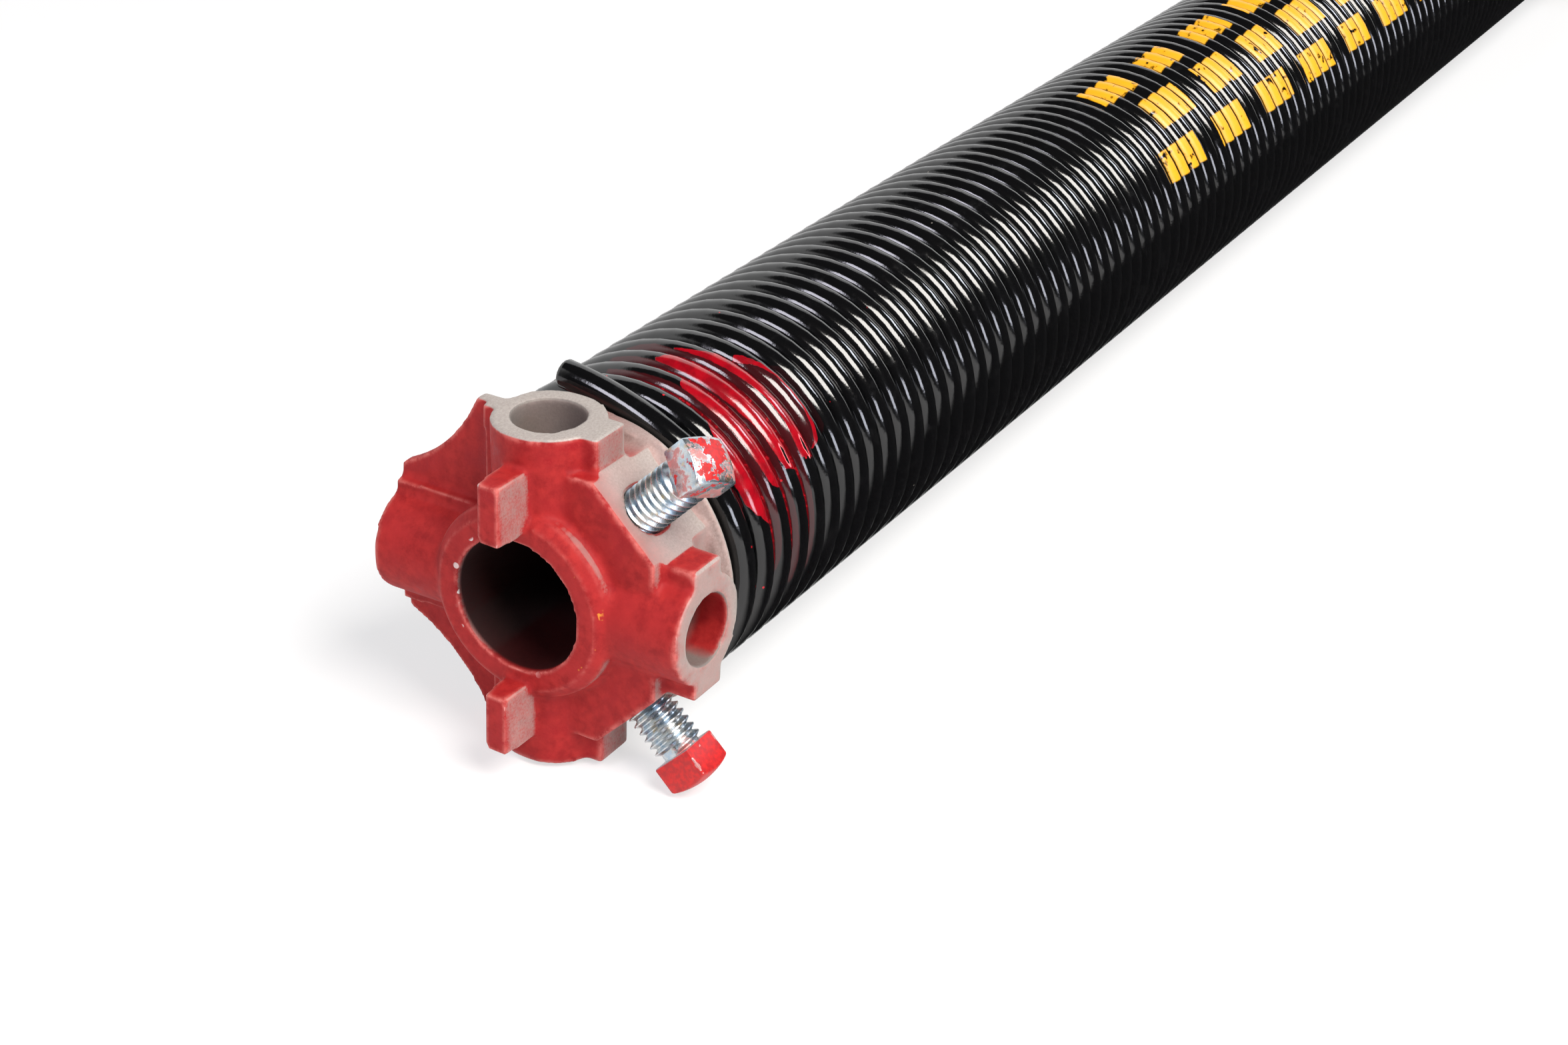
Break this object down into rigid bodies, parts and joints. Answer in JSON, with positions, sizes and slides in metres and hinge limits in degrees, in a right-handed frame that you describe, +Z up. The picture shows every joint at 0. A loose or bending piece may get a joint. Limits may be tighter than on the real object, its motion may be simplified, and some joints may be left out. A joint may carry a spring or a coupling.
{
  "type": "garage door torsion spring",
  "caption": "Close-wound right-hand torsion spring of black wire, with a red winding cone and a stationary cone, for the shaft over a sectional garage door",
  "frame": {"origin": "on the shaft axis, in the front face of the winding cone's hub", "axes": "+X along the shaft from the winding cone towards the stationary cone, +Z up as the spring lies on a floor"},
  "size_m": [0.6526, 0.0982, 0.0724],
  "materials": {
    "wire": "gloss",
    "red_casting": "matte",
    "screw": "satin",
    "bare_casting": "matte"
  },
  "bodies": {
    "anchored": {"stationary_cone": "bare_casting", "spring_coil": "wire"},
    "winding": {"winding_cone": "red_casting"},
    "set_screw_upper": {"set_screw_upper": "screw"},
    "set_screw_lower": {"set_screw_lower": "screw"}
  },
  "joints": [
    {"name": "wind", "type": "hinge", "parent": "anchored", "child": "winding", "pos_m": [0, 0, 0], "axis": [-1, 0, 0], "range_deg": [0, 2700], "stiffness_Nm_per_rad": 0.57, "deforming": ["spring_coil"]},
    {"name": "turn_set_screw_upper", "type": "slide", "parent": "winding", "child": "set_screw_upper", "axis": [0, -0.6767, 0.7363], "range_m": [-0.0066, 0.00454]},
    {"name": "turn_set_screw_lower", "type": "slide", "parent": "winding", "child": "set_screw_lower", "axis": [0, -0.7363, -0.6767], "range_m": [-0.0044, 0.00674]}
  ]
}
